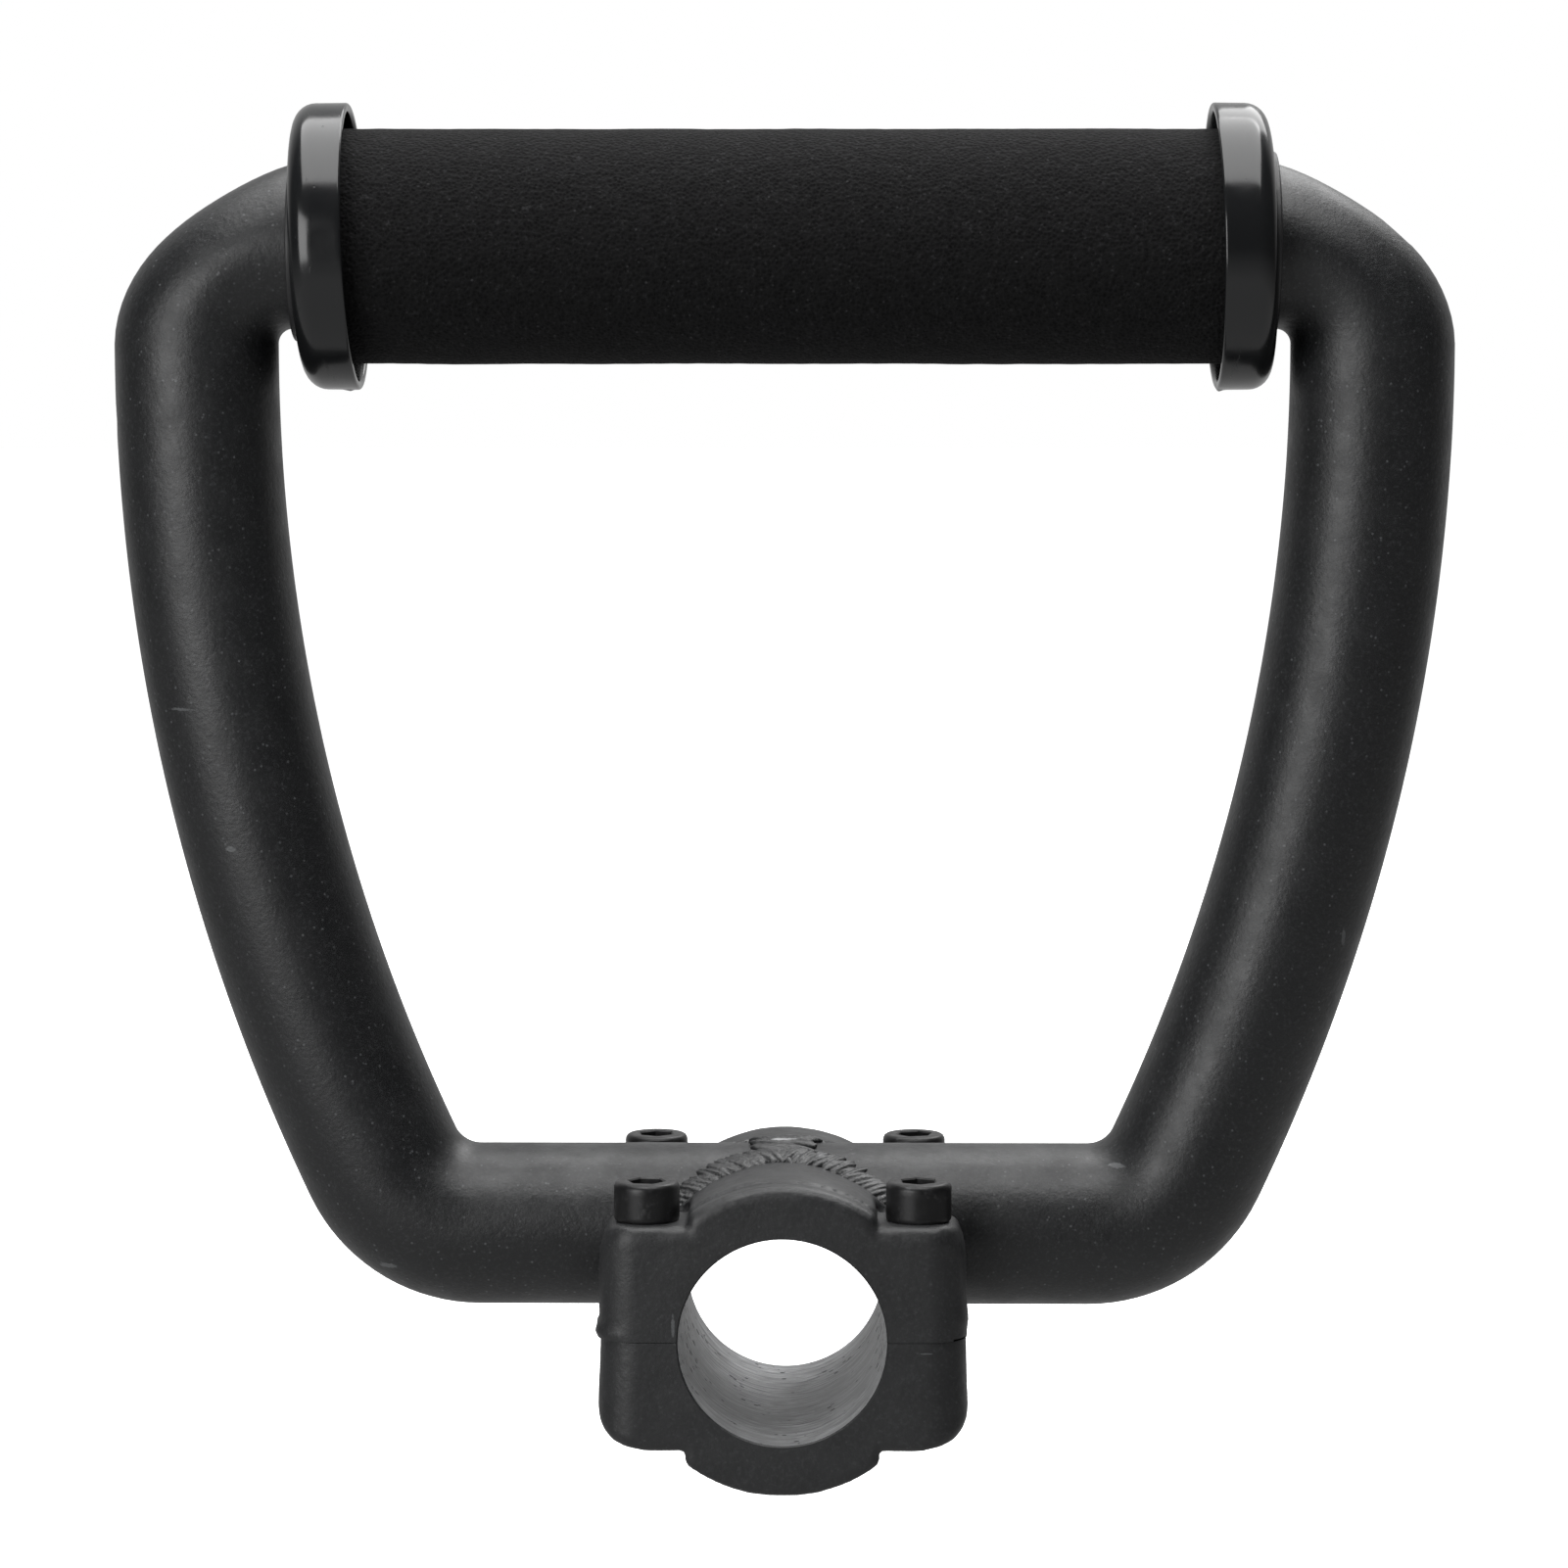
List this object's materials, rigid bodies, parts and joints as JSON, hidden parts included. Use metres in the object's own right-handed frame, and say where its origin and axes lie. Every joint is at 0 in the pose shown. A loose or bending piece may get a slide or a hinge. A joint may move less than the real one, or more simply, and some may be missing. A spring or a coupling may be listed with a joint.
{
  "type": "clamp-on pull up bar handle",
  "caption": "D-shaped tube handle with a foam roller grip, welded to a split clamp that socket screws close on a pull up bar.",
  "frame": {"origin": "centre of the bar bore, halfway along the clamp, on the split between its two halves", "axes": "+Y along the bar bore, away from the side that is seen first; +Z from the bar up to the roller grip; +X to the right"},
  "size_m": [0.2082, 0.057, 0.2135],
  "materials": {
    "tube_coat": "satin",
    "clamp_coat": "satin",
    "weld_coat": "satin",
    "black_steel": "satin",
    "core_plastic": "matte",
    "foam": "matte",
    "collar_plastic": "gloss"
  },
  "bodies": {
    "frame": {"handle_tube": "tube_coat", "clamp_saddle": "clamp_coat", "weld_left": "weld_coat", "weld_right": "weld_coat", "weld_crown": "weld_coat"},
    "grip": {"grip_core": "core_plastic", "foam_grip": "foam", "end_collar_left": "collar_plastic", "end_collar_right": "collar_plastic", "bush_left": "core_plastic", "bush_right": "core_plastic"},
    "cap": {"clamp_cap": "clamp_coat"},
    "bolt_front_left": {"screw_front_left": "black_steel"},
    "bolt_front_right": {"screw_front_right": "black_steel"},
    "bolt_rear_left": {"screw_rear_left": "black_steel"},
    "bolt_rear_right": {"screw_rear_right": "black_steel"}
  },
  "joints": [
    {"name": "grip_spin", "type": "hinge", "parent": "frame", "child": "grip", "pos_m": [0, 0, 0.1668], "axis": [1, 0, 0], "continuous": true},
    {"name": "cap_open", "type": "slide", "parent": "frame", "child": "cap", "axis": [0, 0, -1], "range_m": [0, 0.012]},
    {"name": "screw_front_left_turn", "type": "hinge", "parent": "frame", "child": "bolt_front_left", "pos_m": [-0.0209, -0.0215, 0.0179], "axis": [0, 0, 1], "range_deg": [0, 4320]},
    {"name": "screw_front_right_turn", "type": "hinge", "parent": "frame", "child": "bolt_front_right", "pos_m": [0.0209, -0.0215, 0.0179], "axis": [0, 0, 1], "range_deg": [0, 4320]},
    {"name": "screw_rear_left_turn", "type": "hinge", "parent": "frame", "child": "bolt_rear_left", "pos_m": [-0.0209, 0.0215, 0.0179], "axis": [0, 0, 1], "range_deg": [0, 4320]},
    {"name": "screw_rear_right_turn", "type": "hinge", "parent": "frame", "child": "bolt_rear_right", "pos_m": [0.0209, 0.0215, 0.0179], "axis": [0, 0, 1], "range_deg": [0, 4320]}
  ],
  "couplings": [
    {"joint": "screw_front_left_turn", "follows": "cap_open", "rad_per_m": 6283.2},
    {"joint": "screw_front_right_turn", "follows": "cap_open", "rad_per_m": 6283.2},
    {"joint": "screw_rear_left_turn", "follows": "cap_open", "rad_per_m": 6283.2},
    {"joint": "screw_rear_right_turn", "follows": "cap_open", "rad_per_m": 6283.2}
  ]
}
